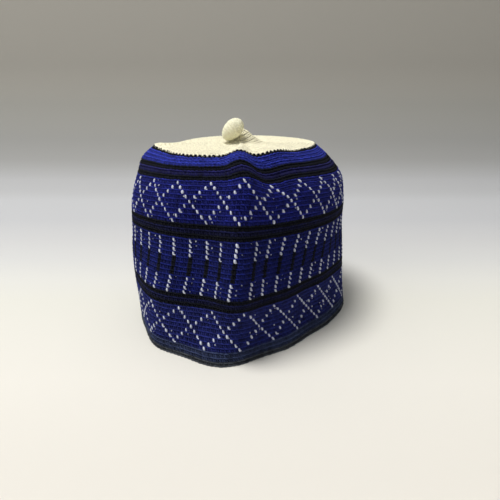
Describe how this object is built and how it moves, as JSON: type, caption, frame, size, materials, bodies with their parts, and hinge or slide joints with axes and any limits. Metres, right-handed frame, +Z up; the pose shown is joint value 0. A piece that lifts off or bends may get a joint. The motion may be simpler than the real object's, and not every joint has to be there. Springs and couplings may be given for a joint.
{
  "type": "hausa cap",
  "caption": "Soft brimless crocheted cap with straight banded sides, a low flat crown and a small ball on top, worn on the head.",
  "frame": {"origin": "middle of the cap's plan box, on the surface that the rim stands on", "axes": "+Z up from the rim to the ball; -Y towards the front, where the soft crease of the side is; +X to the right as seen from the front"},
  "size_m": [0.172, 0.212, 0.1508],
  "materials": {
    "cream_yarn": "matte cream yarn, single crochet",
    "blue_yarn": "soft royal blue yarn, single crochet, with white and black stitches worked in",
    "black_yarn": "soft black yarn, single crochet, with one dark blue round between two black ones",
    "navy_yarn": "soft blue-black yarn, single crochet"
  },
  "bodies": {
    "root": {"hem_band": "navy_yarn", "lower_diamond_band": "blue_yarn", "lower_stripes": "black_yarn", "dash_band": "blue_yarn", "middle_stripes": "black_yarn", "upper_diamond_band": "blue_yarn", "shoulder_stripes": "black_yarn", "shoulder_band": "blue_yarn", "crown_disc": "cream_yarn", "top_knob": "cream_yarn"}
  },
  "joints": []
}
